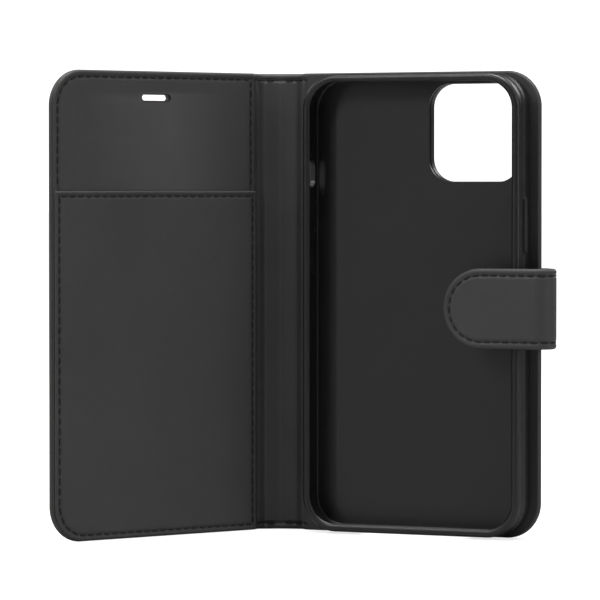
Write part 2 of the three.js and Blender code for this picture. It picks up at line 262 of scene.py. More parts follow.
def sewn_sheet(name, rect, profile, material, top_stitches=None, under_stitches=None):
    """A sewn sheet lofted from its section, with a dimple at each end of every stitch."""
    loops = []
    turn = max(range(len(profile)), key=lambda k: -profile[k][0])
    for k, (inset, level) in enumerate(profile):
        flat = ring(rect, inset)
        levels = np.full(len(flat), float(level))
        near = abs(inset - STITCH_INSET) < 0.6
        if near and k > turn and top_stitches is not None:
            levels -= pull_dimples(flat, top_stitches)
        if near and k < turn and under_stitches is not None:
            levels += pull_dimples(flat, under_stitches)
        loops.append(np.column_stack([flat, levels]))
    return loft(name, loops, material)


def threads(name, ends, level, side, material, place, lift=0.16, dip=0.2):
    """A row of stitches: each a short thread that rises out of the leather and dives back into it."""
    steps = np.linspace(-1, 1, 9)
    sides = np.linspace(0, 2 * math.pi, 8, endpoint=False)
    vertices, faces = [], []
    for start, end in ends:
        along = (end - start) / np.linalg.norm(end - start)
        across = np.array([-along[1], along[0]])
        first = len(vertices)
        for t in steps:
            middle = (start + end) / 2 + (end - start) / 2 * t
            height = lift - (lift + dip) * abs(t) ** 3
            radius = THREAD_RADIUS * (1 - 0.25 * abs(t) ** 4)
            for a in sides:
                flat = middle + across * radius * math.cos(a)
                vertices.append((flat[0], flat[1], level + side * (height + radius * 0.8 * math.sin(a))))
        count = len(sides)
        for k in range(len(steps) - 1):
            for j in range(count):
                a, b = first + k * count + j, first + k * count + (j + 1) % count
                faces.append((a, b, b + count, a + count))
        faces.append(tuple(range(first, first + count))[::-1])
        faces.append(tuple(range(first + (len(steps) - 1) * count, first + len(steps) * count)))
    return new_object(name, place(np.array(vertices)), faces, material)


def move_points(obj, place):
    """Moves a mesh's points by a function of their millimetre coordinates."""
    mesh = obj.data
    co = np.empty(len(mesh.vertices) * 3)
    mesh.vertices.foreach_get("co", co)
    moved = place(co.reshape(-1, 3) / MM) * MM
    mesh.vertices.foreach_set("co", moved.ravel())
    mesh.update()
    return obj


def slice_columns(obj, places, axis=0):
    """Adds straight columns of points across a mesh, so that it can bend there."""
    bm = bmesh.new()
    bm.from_mesh(obj.data)
    normal = Vector([float(axis == k) for k in range(3)])
    for s in places:
        geometry = bm.verts[:] + bm.edges[:] + bm.faces[:]
        bmesh.ops.bisect_plane(bm, geom=geometry, dist=1e-8, plane_co=normal * s * MM, plane_no=normal)
    bm.to_mesh(obj.data)
    bm.free()


def cut_half(obj, s, keep_high, axis=0):
    """Keeps one side of a mesh and closes the cut."""
    bm = bmesh.new()
    bm.from_mesh(obj.data)
    normal = Vector([float(axis == k) for k in range(3)])
    bmesh.ops.bisect_plane(
        bm,
        geom=bm.verts[:] + bm.edges[:] + bm.faces[:],
        dist=1e-8,
        plane_co=normal * s * MM,
        plane_no=normal,
        clear_inner=keep_high,
        clear_outer=not keep_high,
    )
    open_edges = [e for e in bm.edges if e.is_boundary]
    bmesh.ops.holes_fill(bm, edges=open_edges, sides=0)
    bmesh.ops.recalc_face_normals(bm, faces=bm.faces)
    bm.to_mesh(obj.data)
    bm.free()


def copy_object(obj, name):
    other = obj.copy()
    other.data = obj.data.copy()
    other.name = name
    bpy.context.scene.collection.objects.link(other)
    return other


def carve(obj, *cutters):
    """Cuts the cutters out of a mesh and removes them."""
    for cutter in cutters:
        modifier = obj.modifiers.new("cut", "BOOLEAN")
        modifier.operation = "DIFFERENCE"
        modifier.solver = "EXACT"
        modifier.object = cutter
    bpy.context.view_layer.update()
    graph = bpy.context.evaluated_depsgraph_get()
    result = bpy.data.meshes.new_from_object(obj.evaluated_get(graph))
    obj.modifiers.clear()
    obj.data = result
    for cutter in cutters:
        bpy.data.objects.remove(cutter)
    smooth_by_angle(obj)
    return obj


# ---- from the flat cover to the half-open case ----
def ease(t):
    t = np.clip(t, 0, 1)
    return t * t * (3 - 2 * t)


def bend_at(points, line, turn):
    """Folds the part of a flat cover beyond a hinge line up by turn, softly, about that line."""
    share = ease((line + FOLD_REACH - points[:, 0]) / (2 * FOLD_REACH))
    c, s = np.cos(share * turn), np.sin(share * turn)
    ds, w = points[:, 0] - line, points[:, 2]
    return np.column_stack([line + ds * c + w * s, points[:, 1], -ds * s + w * c])


def shape_folds(points):
    """Presses the two fold grooves in, and draws the spine's ends in a little."""
    out = points.copy()
    s = points[:, 0]
    for line in (0, -SPINE_PITCH):
        groove = np.exp(-(((s - line) / 1.25) ** 2))
        out[:, 2] *= 1 - 0.5 * groove
    inside = ease((s + SPINE_PITCH + HINGE_GAP) / 1.8) * ease((HINGE_GAP - s) / 1.8)
    out[:, 1] = HEIGHT / 2 + (points[:, 1] - HEIGHT / 2) * (1 - SPINE_DRAW * inside / HEIGHT)
    return out


def bow_spine(points):
    """Lets the spine's leather belly outwards between its two fold lines."""
    out = points.copy()
    t = np.clip((points[:, 0] + SPINE_PITCH) / SPINE_PITCH, 0, 1)
    out[:, 2] -= SPINE_BOW * np.sin(np.pi * t) ** 1.5
    return out


def fold(points):
    """(s, z, w) on the opened-out cover to the half-open case's own frame."""
    bent = bend_at(points, -SPINE_PITCH, FRONT_TURN)
    bent = bend_at(bent, 0, SPINE_TURN)
    return np.column_stack([BACK_LINE[0] + bent[:, 0], BACK_LINE[1] - bent[:, 2], bent[:, 1]])


def on_tray(points):
    """(x, z, level) on the tray to the case's own frame."""
    return np.column_stack([BACK_LINE[0] + points[:, 0], BACK_LINE[1] - HALF - points[:, 2], points[:, 1]])


def at_fold(s):
    """A point of the case on the cover's middle plane."""
    x, y, z = fold(np.array([[s, HEIGHT / 2, 0.0]]))[0]
    return (x * MM, y * MM, z * MM)


# ---- materials ----
def procedural(name, base, rough, spread=0.12, grain=None, cloud=None, specular=0.5, metal=0.0, edge_highlight_gain=0.0):
    """A material with a cloudy colour, a roughness that varies, a painted highlight on its proud edges and a
    bumped grain.
    grain is (cell size, height, kind) in millimetres, and cloud is the size of the colour's patches."""
    material = bpy.data.materials.new(name)
    material.use_nodes = True
    tree = material.node_tree
    shader = tree.nodes["Principled BSDF"]
    shader.inputs["Specular IOR Level"].default_value = specular
    shader.inputs["Metallic"].default_value = metal

    def node(kind, **values):
        made = tree.nodes.new(kind)
        for key, value in values.items():
            if hasattr(made, key):
                setattr(made, key, value)
            else:
                made.inputs[key.replace("_", " ")].default_value = value
        return made

    def link(a, socket_a, b, socket_b):
        tree.links.new(a.outputs[socket_a], b.inputs[socket_b])

    place = node("ShaderNodeTexCoord")
    patches = node("ShaderNodeTexNoise", Scale=1000 / (cloud or 18), Detail=4.0, Roughness=0.55)
    link(place, "Object", patches, "Vector")
    tint = node("ShaderNodeValToRGB")
    tint.color_ramp.elements[0].position = 0.3
    tint.color_ramp.elements[1].position = 0.7
    tint.color_ramp.elements[0].color = [c * (1 - spread) for c in base] + [1]
    tint.color_ramp.elements[1].color = [min(1, c * (1 + spread)) for c in base] + [1]
    link(patches, "Fac", tint, "Fac")
    colour = tint
    # Painted highlight: where the proud attribute is high, the colour is mixed towards a lighter copy of the base
    # colour, standing in for light caught by rolled edges.
    if edge_highlight_gain:
        shape = node("ShaderNodeAttribute", attribute_name="proud")
        highlight_share = node("ShaderNodeMapRange")
        highlight_share.inputs["From Min"].default_value = 0.515
        highlight_share.inputs["From Max"].default_value = 0.6
        highlight_share.inputs["To Max"].default_value = 0.8
        link(shape, "Fac", highlight_share, "Value")
        colour = node("ShaderNodeMixRGB")
        colour.inputs["Color2"].default_value = [min(1, c * edge_highlight_gain) for c in base] + [1]
        link(highlight_share, "Result", colour, "Fac")
        link(tint, "Color", colour, "Color1")
    link(colour, "Color", shader, "Base Color")
    shine = node("ShaderNodeMapRange")
    shine.inputs["From Min"].default_value = 0.3
    shine.inputs["From Max"].default_value = 0.7
    shine.inputs["To Min"].default_value = rough - 0.05
    shine.inputs["To Max"].default_value = rough + 0.06
    fine = node("ShaderNodeTexNoise", Scale=1000 / 2.4, Detail=6.0, Roughness=0.65)
    link(place, "Object", fine, "Vector")
    link(fine, "Fac", shine, "Value")
    link(shine, "Result", shader, "Roughness")
    if grain:
        size, height, kind = grain
        if kind == "leather":
            cells = node("ShaderNodeTexVoronoi", feature="DISTANCE_TO_EDGE", Scale=1000 / size)
            warp = node("ShaderNodeTexNoise", Scale=1000 / (size * 2.5), Detail=3.0)
            link(place, "Object", warp, "Vector")
            bend = node("ShaderNodeVectorMath", operation="MULTIPLY_ADD")
            bend.inputs[1].default_value = (size * MM * 1.4,) * 3
            link(warp, "Color", bend, 0)
            link(place, "Object", bend, 2)
            link(bend, "Vector", cells, "Vector")
            pores = node("ShaderNodeMapRange", interpolation_type="SMOOTHSTEP")
            pores.inputs["From Max"].default_value = 0.22
            link(cells, "Distance", pores, "Value")
            source, socket = pores, "Result"
        else:
            cells = node("ShaderNodeTexNoise", Scale=1000 / size, Detail=3.0, Roughness=0.6)
            link(place, "Object", cells, "Vector")
            source, socket = cells, "Fac"
        bump = node("ShaderNodeBump", Strength=1.0, Distance=height * MM)
        link(source, socket, bump, "Height")
        soft = node("ShaderNodeBump", Strength=0.5, Distance=0.12 * MM)
        slow = node("ShaderNodeTexNoise", Scale=1000 / 11, Detail=3.0, Roughness=0.5)
        link(place, "Object", slow, "Vector")
        link(slow, "Fac", soft, "Height")
        link(bump, "Normal", soft, "Normal")
        link(soft, "Normal", shader, "Normal")
    return material


BLACK_DYE = (0.0345, 0.0330, 0.0326)
# The last number given to the leather, lining and plastic lightens their proud edges: a painted highlight.
LEATHER = procedural("black leather", BLACK_DYE, 0.5, 0.10, (0.42, 0.022, "leather"), 22, 0.36, edge_highlight_gain=2.4)
LINING = procedural(
    "black lining leather", BLACK_DYE, 0.55, 0.08, (0.36, 0.016, "leather"), 26, 0.34, edge_highlight_gain=2.4
)
TPU = procedural(
    "moulded black plastic", (0.0050, 0.0050, 0.0053), 0.4, 0.1, (0.25, 0.008, "sand"), 14, 0.42, edge_highlight_gain=1.8
)
THREAD = procedural("black thread", (0.007, 0.007, 0.0075), 0.72, 0.25, (0.12, 0.05, "sand"), 3, 0.3)
EDGE_PAINT = procedural("edge paint", (0.012, 0.012, 0.012), 0.42, 0.1, (0.5, 0.01, "sand"), 6, 0.45)
GREYBOARD = procedural("greyboard", (0.25, 0.23, 0.2), 0.9, 0.12, (0.3, 0.03, "sand"), 8, 0.2)
FOAM = procedural("adhesive foam", (0.66, 0.64, 0.6), 0.8, 0.05, (0.2, 0.03, "sand"), 5, 0.2)
STEEL = procedural("steel sheet", (0.5, 0.51, 0.52), 0.35, 0.05, (0.4, 0.004, "sand"), 9, 0.5, metal=1.0)
NICKEL = procedural("nickel", (0.6, 0.58, 0.54), 0.25, 0.04, (0.5, 0.003, "sand"), 6, 0.5, metal=1.0)


def mark_edges(obj):
    """Writes how far each point stands proud of the points joined to it, for the painted highlight on the edges.
    """
    mesh = obj.data
    count = len(mesh.vertices)
    places, normals, ends = np.empty(count * 3), np.empty(count * 3), np.empty(len(mesh.edges) * 2, int)
    mesh.vertices.foreach_get("co", places)
    mesh.vertices.foreach_get("normal", normals)
    mesh.edges.foreach_get("vertices", ends)
    places, normals, (a, b) = places.reshape(-1, 3), normals.reshape(-1, 3), ends.reshape(-1, 2).T
    along = places[b] - places[a]
    along /= np.maximum(np.linalg.norm(along, axis=1, keepdims=True), 1e-12)
    total = np.zeros((count, 3))
    np.add.at(total, a, along)
    np.add.at(total, b, -along)
    degree = np.maximum(np.bincount(ends, minlength=count), 1)
    proud = np.arccos(np.clip((normals * total).sum(1) / degree, -1, 1)) / math.pi
    for _ in range(2):
        near = proud.copy()
        np.add.at(near, a, proud[b])
        np.add.at(near, b, proud[a])
        proud = near / (degree + 1)
    mesh.attributes.new("proud", "FLOAT", "POINT").data.foreach_set("value", proud)


def dress(obj, material):
    obj.data.materials.clear()
    obj.data.materials.append(material)
    if "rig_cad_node" not in obj:
        mark_edges(obj)
    return obj


# ---- the cover's outlines ----
FRONT_HINGE_EDGE = -SPINE_PITCH - HINGE_GAP
COVER = (FRONT_FORE, 0, BACK_FORE, HEIGHT, (CORNER,) * 4)
FRONT = (FRONT_FORE, 0, FRONT_HINGE_EDGE, HEIGHT, (CORNER, HINGE_CORNER, HINGE_CORNER, CORNER))
BACK = (HINGE_GAP, 0, BACK_FORE, HEIGHT, (HINGE_CORNER, CORNER, CORNER, HINGE_CORNER))
POCKET = (FRONT_FORE, 0, FRONT_HINGE_EDGE, POCKET_TOP, (CORNER, HINGE_CORNER, 0.5, 0.5))
SPEAKER_MIDDLE = ((FRONT_FORE + FRONT_HINGE_EDGE) / 2, 147.1)
SPEAKER_WIDTH, SPEAKER_HEIGHT = 12.0, 2.3
CAMERA_SIZE, CAMERA_CORNER = 33.0, 8.0
CAMERA_INSET = 18
TRAY_WALL = 1.8
_, tray_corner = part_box("tray_shell")
PHONE_SIDE = tray_corner.x / MM - BACK_LINE[0] - TRAY_WALL
PHONE_TOP = tray_corner.z / MM - TRAY_WALL
CAMERA_MIDDLE = (PHONE_SIDE - CAMERA_INSET, PHONE_TOP - CAMERA_INSET)


def around(middle, width, height, corner):
    x, y = middle
    return (x - width / 2, y - height / 2, x + width / 2, y + height / 2, (corner,) * 4)


SPEAKER_RECT = around(SPEAKER_MIDDLE, SPEAKER_WIDTH, SPEAKER_HEIGHT, SPEAKER_HEIGHT / 2 - 0.01)
CAMERA_RECT = around(CAMERA_MIDDLE, CAMERA_SIZE, CAMERA_SIZE, CAMERA_CORNER)


def at_level(flat, level):
    return np.column_stack([flat, np.full(len(flat), float(level))])


def prism(rect, low, high, inset=0.0):
    """A straight cutter through a flat sheet."""
    flat = ring(rect, inset, 1.2, 12)
    return loft("cutter", [at_level(flat, low), at_level(flat, high)])


def cover_place(points):
    return fold(bow_spine(shape_folds(points)))


# ---- the outer leather, opened out as one skin and then cut at the middle of the spine ----
front_loop = stitch_places(FRONT)
back_loop = stitch_places(BACK)
cover_holes = np.concatenate([front_loop, back_loop])
OUTER_FACE = -HALF
cover = sewn_sheet(
    "cover_leather",
    COVER,
    sewn_profile(OUTER_FACE, LINING_LEVEL, roll=0.95),
    LEATHER,
    under_stitches=cover_holes,
)
carve(cover, prism(SPEAKER_RECT, -3, 3), prism(CAMERA_RECT, -3, 3))
columns = set()
for line in (0, -SPINE_PITCH):
    columns |= {round(line + o, 3) for o in np.arange(-4, 4.01, 0.4)}
SEWN_COLUMNS = (FRONT_HINGE_EDGE - STITCH_INSET, HINGE_GAP + STITCH_INSET)
for line in SEWN_COLUMNS:
    columns |= {round(line + o, 3) for o in np.arange(-1.25, 1.26, 0.25)}
columns |= {round(c, 3) for c in np.linspace(-SPINE_PITCH + 4.6, -4.6, 7)}
slice_columns(cover, sorted(columns))


def shape_cover(points):
    """The open cover's own relief: sewn columns beside the spine outside, a fuller spine inside."""
    out = points.copy()
    s, z, w = points.T
    between = ease((z - 1.2) / 1.5) * ease((HEIGHT - 1.2 - z) / 1.5)
    for line in SEWN_COLUMNS:
        out[:, 2] += np.where(w < 0, VALLEY * valley(s - line) * between, 0)
    in_spine = ease((s + SPINE_PITCH - 0.8) / 2.4) * ease((HINGE_GAP - 0.2 - s) / 1.8)
    out[:, 2] += np.where(w > 0, w / LINING_LEVEL * SPINE_PADDING * in_spine, 0)
    return cover_place(out)


front_cover_leather = cover
front_cover_leather.name = "front_cover_leather"
back_cover_leather = copy_object(cover, "back_cover_leather")
cut_half(front_cover_leather, SPINE_MIDDLE, keep_high=False)
cut_half(back_cover_leather, SPINE_MIDDLE, keep_high=True)
for half in (front_cover_leather, back_cover_leather):
    move_points(half, shape_cover)
    smooth_by_angle(half)

FRONT_BLEND = ("front_cover", "spine", at_fold(-SPINE_PITCH - 3), at_fold(-SPINE_PITCH + 3))
BACK_BLEND = ("back_cover", "spine", at_fold(3), at_fold(-3))


def bends(obj, material):
    dress(obj, material)
    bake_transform(obj)
    return obj


def rides(obj, body, material):
    dress(obj, material)
    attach(obj, body)
    return obj


bends(front_cover_leather, LEATHER)
bends(back_cover_leather, LEATHER)
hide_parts("front_outer_leather", "front_fold_leather")
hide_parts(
    "back_outer_leather",
    "back_fold_leather",
    "spine_outer_leather",
    "spine_board",
    "spine_lining",
)

# ---- linings and the pocket ----
LINING_LOW, LINING_HIGH = 0.8, HALF
POCKET_LOW, POCKET_HIGH = 1.46, 2.35
STITCHED = 0.28  # depth of the sewn valley in a lining or the pocket


def lining_profile(low, high, start, depth):
    """A lining's section: its edge stands in by start, and only its top has a sewn valley, of the given depth."""
    section = sewn_profile(low, high, roll=0.55, low_valley=0, high_valley=depth)
    return [(inset + start if inset < 0.7 else inset, level) for inset, level in section]


front_lining = sewn_sheet(
    "front_lining_leather", FRONT, lining_profile(LINING_LOW, LINING_HIGH, 0.3, STITCHED), LINING, front_loop
)
carve(front_lining, prism(SPEAKER_RECT, -3, 3))
move_points(front_lining, fold)
rides(front_lining, "front_cover", LINING)
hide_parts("front_lining")

back_lining = sewn_sheet("back_lining_leather", BACK, lining_profile(LINING_LOW, LINING_HIGH, 0.22, 0), LINING)
carve(back_lining, prism(CAMERA_RECT, -3, 3))
move_points(back_lining, fold)
rides(back_lining, "back_cover", LINING)
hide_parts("back_lining")

pocket_loop = stitch_places(POCKET)
pocket = sewn_sheet(
    "card_pocket_leather", POCKET, lining_profile(POCKET_LOW, POCKET_HIGH, 0.5, STITCHED), LINING, pocket_loop
)
move_points(pocket, fold)
rides(pocket, "front_cover", LINING)
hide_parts("pocket_panel")


def hole_edge(name, rect, body, low, high, place, material=EDGE_PAINT):
    """The painted or turned edge of a hole, a little proud of both faces."""
    section = [(0.16, low + 0.3), (0.1, low + 0.08), (-0.1, low), (-0.3, low + 0.1), (-0.34, low + 0.4)]
    section += [(-0.34, high - 0.4), (-0.3, high - 0.1), (-0.1, high), (0.1, high - 0.08), (0.16, high - 0.3)]
    loops = [at_level(ring(rect, inset, 0.5, 14), level) for inset, level in section]
    obj = loft(name, loops, material, tube=True)
    move_points(obj, place)
    return rides(obj, body, material)


hole_edge("speaker_slot_edge", SPEAKER_RECT, "front_cover", -HALF - 0.06, HALF + 0.06, fold)
hole_edge("camera_window_edge", CAMERA_RECT, "back_cover", -HALF - 0.06, HALF + 0.06, fold)

# ---- stitching ----
SINK = VALLEY - 0.02  # how far below a face its thread lies


def spine_rows():
    """Stitch ends along the top and bottom of the spine, between the two panels' loops."""
    count = round((SEWN_COLUMNS[1] - SEWN_COLUMNS[0]) / STITCH_PITCH)
    step = (SEWN_COLUMNS[1] - SEWN_COLUMNS[0]) / count
    ends = []
    for z in (STITCH_INSET, HEIGHT - STITCH_INSET):
        for k in range(count):
            middle = SEWN_COLUMNS[0] + step * (k + 0.5)
            ends.append([(middle - STITCH_LENGTH / 2, z), (middle + STITCH_LENGTH / 2, z)])
    return np.array(ends)


rows = spine_rows()
row_middles = rows[:, :, 0].mean(1)
front_rows, back_rows = rows[row_middles < SPINE_MIDDLE], rows[row_middles > SPINE_MIDDLE]
above_pocket = front_loop[front_loop[:, :, 1].mean(1) > POCKET_TOP + 0.6]
SPINE_FACE = LINING_LEVEL + SPINE_PADDING - 0.1
stitch_groups = [
    ("front_outer_stitches", np.concatenate([front_loop, front_rows]), OUTER_FACE + SINK, -1, FRONT_BLEND),
    ("back_outer_stitches", np.concatenate([back_loop, back_rows]), OUTER_FACE + SINK, -1, BACK_BLEND),
    ("front_lining_stitches", above_pocket, LINING_HIGH - 0.26, 1, FRONT_BLEND),
    ("pocket_stitches", pocket_loop, POCKET_HIGH - 0.26, 1, FRONT_BLEND),
    ("spine_front_stitches", front_rows, SPINE_FACE, 1, FRONT_BLEND),
    ("spine_back_stitches", back_rows, SPINE_FACE, 1, BACK_BLEND),
]
for name, ends, level, side, blend in stitch_groups:
    obj = threads(name, ends, level, side, THREAD, cover_place)
    bends(obj, THREAD)

# ---- the phone tray ----
tray_lo, tray_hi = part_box("tray_shell")
TRAY = (
    tray_lo.x / MM - BACK_LINE[0],
    tray_lo.z / MM,
    tray_hi.x / MM - BACK_LINE[0],
    tray_hi.z / MM,
    (12.0,) * 4,
)
TRAY_BASE = BACK_LINE[1] - HALF - tray_hi.y / MM
TRAY_RIM = BACK_LINE[1] - HALF - tray_lo.y / MM
TRAY_FLOOR = TRAY_BASE + 1.0
NECK = (5.0, 8.3, 0.5)  # lowest level, highest level and depth of the waist in the tray's wall


def tray_section():
    """(inset, level) round the tray's wall, from under its floor to the top of its floor."""
    low, high, depth = NECK
    foot = [(1.3, 0), (0.9, 0.02), (0.5, 0.12), (0.22, 0.3), (0.06, 0.55), (0, 0.85), (0, 2.2), (0, 3.6)]
    section = [(inset, TRAY_BASE + level) for inset, level in foot]
    for t in np.linspace(0, 1, 15):
        section.append((depth * math.sin(math.pi * t) ** 2, low + (high - low) * t))
    rim = [(0, 1.95), (0.03, 1.5), (0.12, 1.1), (0.3, 0.7), (0.6, 0.34), (0.95, 0.12), (1.35, 0.0)]
    rim += [(1.8, 0.02), (2.2, 0.14), (2.55, 0.36), (2.74, 0.6), (2.8, 0.78), (2.72, 0.9)]
    section += [(inset, TRAY_RIM - drop) for inset, drop in rim]
    inside = [(1.75, TRAY_RIM - 0.9), (1.6, TRAY_RIM - 1.05), (1.6, 6.0), (1.6, TRAY_FLOOR + 0.5)]
    inside += [(1.7, TRAY_FLOOR + 0.18), (1.95, TRAY_FLOOR + 0.03), (2.3, TRAY_FLOOR), (4, TRAY_FLOOR)]
    return section + inside


tray = loft("phone_tray", [at_level(ring(TRAY, inset), level) for inset, level in tray_section()], TPU)


def bar_cutter(node, grow):
    """A round-ended cutter through the wall round a button's CAD node."""
    lo, hi = (np.array(c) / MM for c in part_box(node))
    rect = (lo[1] - grow, lo[2] - grow, hi[1] + grow, hi[2] + grow, ((hi[1] - lo[1]) / 2 + grow - 0.02,) * 4)
    flat = ring(rect, 0, 0.6, 12)
    middle = (lo[0] + hi[0]) / 2
    loops = [np.column_stack([np.full(len(flat), x), flat]) for x in (middle - 2.4, middle + 2.4)]
    return loft("cutter", loops)


def wall_slot(rect, x0, x1):
    """A cutter through the side wall; its outline is (y, z) in the case's own frame."""
    flat = ring(rect, 0, 0.6, 12)
    return loft("cutter", [np.column_stack([np.full(len(flat), x), flat]) for x in (x0, x1)])


SEAT = BACK_LINE[1] - HALF
PHONE_MIDDLE = SEAT - 5.8  # the middle of the phone's thickness
MUTE_HEIGHT, MUTE_LENGTH, MUTE_WIDTH = 122.0, 9.6, 5.2
PORT_LENGTH, PORT_WIDTH = 40.0, 6.0
move_points(tray, on_tray)
mute_rect = around((PHONE_MIDDLE, MUTE_HEIGHT), MUTE_WIDTH, MUTE_LENGTH, MUTE_WIDTH / 2 - 0.01)
port_middle = (tray_lo.x + tray_hi.x) / 2 / MM
port_rect = around((port_middle, PHONE_MIDDLE), PORT_LENGTH, PORT_WIDTH, PORT_WIDTH / 2 - 0.01)
port_flat = ring(port_rect, 0, 0.6, 12)
port_cutter = loft("cutter", [at_level(port_flat, z) for z in (-1.5, 3.2)])
camera_flat = ring(CAMERA_RECT, 0, 1.0, 14)
camera_cutter = loft("cutter", [on_tray(at_level(camera_flat, level)) for level in (-2, 5)])
BUTTONS = ("power_button", "volume_up_button", "volume_down_button")
BUTTON_GAP = 0.12
carve(
    tray,
    camera_cutter,
    port_cutter,
    wall_slot(mute_rect, tray_lo.x / MM - 2, tray_lo.x / MM + 2.1),
    *[bar_cutter(node, BUTTON_GAP) for node in BUTTONS],
)
rides(tray, "back_cover", TPU)
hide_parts("tray_shell")


def button_pad(node):
    """A soft-edged pad with a raised bar, standing a little proud of the tray's wall."""
    lo, hi = (np.array(c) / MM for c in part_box(node))
    out = 1 if lo[0] > 0 else -1
    face, base = (hi[0], lo[0]) if out > 0 else (lo[0], hi[0])
    rect = (lo[1], lo[2], hi[1], hi[2], ((hi[1] - lo[1]) / 2 - 0.02,) * 4)
    section = [(0.15, base), (0, base + out * 0.15), (0, face - out * 0.3), (0.05, face - out * 0.14)]
    section += [(0.18, face - out * 0.04), (0.4, face), (0.7, face - out * 0.02), (0.85, face - out * 0.1)]
    section += [(1.0, face - out * 0.1), (1.1, face - out * 0.02), (1.25, face + out * 0.06)]
    loops = []
    for inset, x in section:
        flat = ring(rect, inset, 0.4, 12)
        loops.append(np.column_stack([np.full(len(flat), x), flat]))
    pad = loft(node + "_pad", loops, TPU)
    rides(pad, node, TPU)
    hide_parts(node)


for node in BUTTONS:
    button_pad(node)

# ---- the strap ----
STRAP_WIDTH = 26.6
STRAP_HALF_THICK = 1.3
STRAP_HEIGHT = (span("strap_tongue_outer_leather", 2)[0] + span("strap_tongue_outer_leather", 2)[1]) / 2
TONGUE_LEVEL = SEAT - joint_line("strap_bend")[1]
TIP_X = span("strap_tongue_outer_leather", 0)[0] - BACK_LINE[0]
STRAP_START = 84.0
ROOT_STRAIGHT, ROOT_RADIUS, LEAN, BEND_RADIUS = 3.6, 3.0, math.radians(52), 4.5
ROOT_LEVEL = -HALF


def strap_line(u):
    """The strap's middle line at each distance u from its sewn end: x, level and turn, then the distances at
    which its four stretches end, and the x at which its bend ends."""
    root_arc = ROOT_RADIUS * LEAN
    root_end = (STRAP_START + ROOT_STRAIGHT, ROOT_LEVEL)
    side_start = (root_end[0] + ROOT_RADIUS * math.sin(LEAN), root_end[1] + ROOT_RADIUS * (1 - math.cos(LEAN)))
    bend_rise = BEND_RADIUS * (math.cos(LEAN) + 1)
    side = (TONGUE_LEVEL - bend_rise - side_start[1]) / math.sin(LEAN)
    side_end = (side_start[0] + side * math.cos(LEAN), TONGUE_LEVEL - bend_rise)
    bend_arc = BEND_RADIUS * (math.pi - LEAN)
    bend_end = side_end[0] - BEND_RADIUS * math.sin(LEAN)
    stops = np.cumsum([ROOT_STRAIGHT, root_arc, side, bend_arc])
    x, level, turn = np.empty_like(u), np.empty_like(u), np.empty_like(u)
    for k, value in enumerate(u):
        if value < stops[0]:
            x[k], level[k], turn[k] = STRAP_START + value, ROOT_LEVEL, 0
        elif value < stops[1]:
            turn[k] = (value - stops[0]) / ROOT_RADIUS
            x[k] = root_end[0] + ROOT_RADIUS * math.sin(turn[k])
            level[k] = root_end[1] + ROOT_RADIUS * (1 - math.cos(turn[k]))
        elif value < stops[2]:
            run = value - stops[1]
            x[k], level[k] = side_start[0] + run * math.cos(LEAN), side_start[1] + run * math.sin(LEAN)
            turn[k] = LEAN
        elif value < stops[3]:
            turn[k] = LEAN + (value - stops[2]) / BEND_RADIUS
            x[k] = side_end[0] + BEND_RADIUS * (math.sin(turn[k]) - math.sin(LEAN))
            level[k] = side_end[1] + BEND_RADIUS * (math.cos(LEAN) - math.cos(turn[k]))
        else:
            x[k], level[k], turn[k] = bend_end - (value - stops[3]), TONGUE_LEVEL, math.pi
    return x, level, turn, stops, bend_end


_, _, _, strap_stops, bend_end = strap_line(np.array([0.0]))
STRAP_LENGTH = strap_stops[3] + bend_end - TIP_X
STRAP_SPLIT = (strap_stops[1] + strap_stops[2]) / 2
STRAP = (0, -STRAP_WIDTH / 2, STRAP_LENGTH, STRAP_WIDTH / 2, (0.5, 13.29, 13.29, 0.5))


def strap_place(points):
    """(u, across, thickness) on the straight strap to the case's own frame."""
    u, across, thick = points.T
    thin = 0.5 + 0.5 * ease((u - 2.5) / 5)
    x, level, turn, _, _ = strap_line(u)
    outward = thick * thin
    x = x + outward * np.sin(turn)
    level = level - outward * np.cos(turn)
    return np.column_stack([BACK_LINE[0] + x, SEAT - level, STRAP_HEIGHT + across])


STRAP_STITCH = 2.3
strap_loop = stitch_places(STRAP, STRAP_STITCH, keep=lambda p: p[0] > 4.4)
strap = sewn_sheet(
    "strap_leather",
    STRAP,
    sewn_profile(-STRAP_HALF_THICK, STRAP_HALF_THICK, roll=1.0, stitch=STRAP_STITCH, seam=0.001),
    LEATHER,
    strap_loop,
    strap_loop,
)
slice_columns(strap, np.arange(0.5, strap_stops[3] + 1, 0.45))
strap_side = copy_object(strap, "strap_side_leather")
strap_tongue = strap
strap_tongue.name = "strap_tongue_leather"
cut_half(strap_side, STRAP_SPLIT, keep_high=False)
cut_half(strap_tongue, STRAP_SPLIT, keep_high=True)
for obj in (strap_side, strap_tongue):
    move_points(obj, strap_place)
    smooth_by_angle(obj)


def strap_point(u):
    x, y, z = strap_place(np.array([[u, 0.0, 0.0]]))[0]
    return (x * MM, y * MM, z * MM)


ROOT_BLEND = ("back_cover", "strap_side", strap_point(strap_stops[0] - 0.3), strap_point(strap_stops[1] + 1.6))
BEND_BLEND = ("strap_side", "strap_tongue", strap_point(STRAP_SPLIT + 1.0), strap_point(strap_stops[3] + 3.0))
bends(strap_side, LEATHER)
bends(strap_tongue, LEATHER)
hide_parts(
    "strap_side_outer_leather", "strap_side_inner_leather", "strap_side_core", "strap_root_fold"
)
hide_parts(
    "strap_tongue_outer_leather", "strap_tongue_inner_leather", "strap_tongue_core", "strap_bend_fold"
)
strap_middles = strap_loop[:, :, 0].mean(1)
for name, chosen, blend in (
    ("strap_side_stitches", strap_loop[strap_middles < STRAP_SPLIT], ROOT_BLEND),
    ("strap_tongue_stitches", strap_loop[strap_middles >= STRAP_SPLIT], BEND_BLEND),
):
    for face, side in (("outer", 1), ("inner", -1)):
        obj = threads(f"{name}_{face}", chosen, side * (STRAP_HALF_THICK - SINK), side, THREAD, strap_place)
        bends(obj, THREAD)

